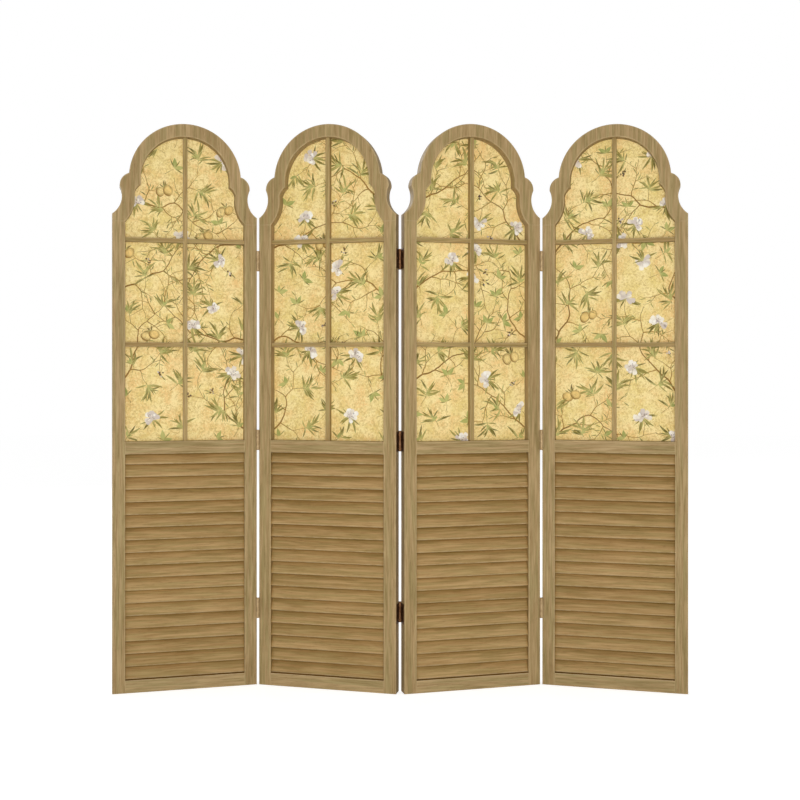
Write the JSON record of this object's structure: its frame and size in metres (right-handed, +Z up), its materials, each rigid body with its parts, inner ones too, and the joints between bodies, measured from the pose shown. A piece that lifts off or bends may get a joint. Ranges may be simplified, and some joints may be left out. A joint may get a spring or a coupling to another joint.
{
  "type": "folding screen",
  "caption": "Zigzag folding room screen of hinged wooden leaves with arched heads, glazing bars over a floral printed panel, and fixed louvres below.",
  "frame": {"origin": "on the floor under the middle of the screen's box in its rest zigzag, in the plane of the middle joint's axis in X", "axes": "+X to the right across the screen seen from the front, +Y from front to back, +Z up"},
  "size_m": [1.8254, 0.1524, 1.7999],
  "materials": {
    "frame_wood": "matt light olive-tan oak, grain along each member",
    "bar_wood": "matt light oak",
    "slat_wood": "matt light oak, grain along the slat, slightly redder than the frame",
    "dowel_wood": "plain, hidden",
    "printed_board": null,
    "hinge_bronze": "aged bronze, satin",
    "screw_bronze": "aged bronze, satin"
  },
  "bodies": {
    "leaf_2": {"stile_left_2": "frame_wood", "stile_right_2": "frame_wood", "arch_head_2": "frame_wood", "mid_rail_2": "frame_wood", "bottom_rail_2": "frame_wood", "head_dowels_2": "dowel_wood", "glazing_upright_2": "bar_wood", "glazing_bars_2": "bar_wood", "print_panel_2": "printed_board", "retaining_beads_2": "bar_wood", "louvre_slats_2": "slat_wood", "hinge_right_plates_12": "hinge_bronze", "hinge_left_plates_23": "hinge_bronze", "hinge_pins_23": "hinge_bronze", "hinge_screws_2": "screw_bronze"},
    "leaf_1": {"stile_left_1": "frame_wood", "stile_right_1": "frame_wood", "arch_head_1": "frame_wood", "mid_rail_1": "frame_wood", "bottom_rail_1": "frame_wood", "head_dowels_1": "dowel_wood", "glazing_upright_1": "bar_wood", "glazing_bars_1": "bar_wood", "print_panel_1": "printed_board", "retaining_beads_1": "bar_wood", "louvre_slats_1": "slat_wood", "hinge_left_plates_12": "hinge_bronze", "hinge_pins_12": "hinge_bronze", "hinge_screws_1": "screw_bronze"},
    "leaf_3": {"stile_left_3": "frame_wood", "stile_right_3": "frame_wood", "arch_head_3": "frame_wood", "mid_rail_3": "frame_wood", "bottom_rail_3": "frame_wood", "head_dowels_3": "dowel_wood", "glazing_upright_3": "bar_wood", "glazing_bars_3": "bar_wood", "print_panel_3": "printed_board", "retaining_beads_3": "bar_wood", "louvre_slats_3": "slat_wood", "hinge_right_plates_23": "hinge_bronze", "hinge_left_plates_34": "hinge_bronze", "hinge_pins_34": "hinge_bronze", "hinge_screws_3": "screw_bronze"},
    "leaf_4": {"stile_left_4": "frame_wood", "stile_right_4": "frame_wood", "arch_head_4": "frame_wood", "mid_rail_4": "frame_wood", "bottom_rail_4": "frame_wood", "head_dowels_4": "dowel_wood", "glazing_upright_4": "bar_wood", "glazing_bars_4": "bar_wood", "print_panel_4": "printed_board", "retaining_beads_4": "bar_wood", "louvre_slats_4": "slat_wood", "hinge_right_plates_34": "hinge_bronze", "hinge_screws_4": "screw_bronze"}
  },
  "joints": [
    {"name": "fold_12", "type": "hinge", "parent": "leaf_2", "child": "leaf_1", "pos_m": [-0.45803, 0.02989, 0], "axis": [0, 0, 1], "range_deg": [-28.4, 151.6]},
    {"name": "fold_23", "type": "hinge", "parent": "leaf_2", "child": "leaf_3", "pos_m": [0, -0.02989, 0], "axis": [0, 0, 1], "range_deg": [-28.4, 151.6]},
    {"name": "fold_34", "type": "hinge", "parent": "leaf_3", "child": "leaf_4", "pos_m": [0.45803, 0.02989, 0], "axis": [0, 0, -1], "range_deg": [-28.4, 151.6]}
  ]
}
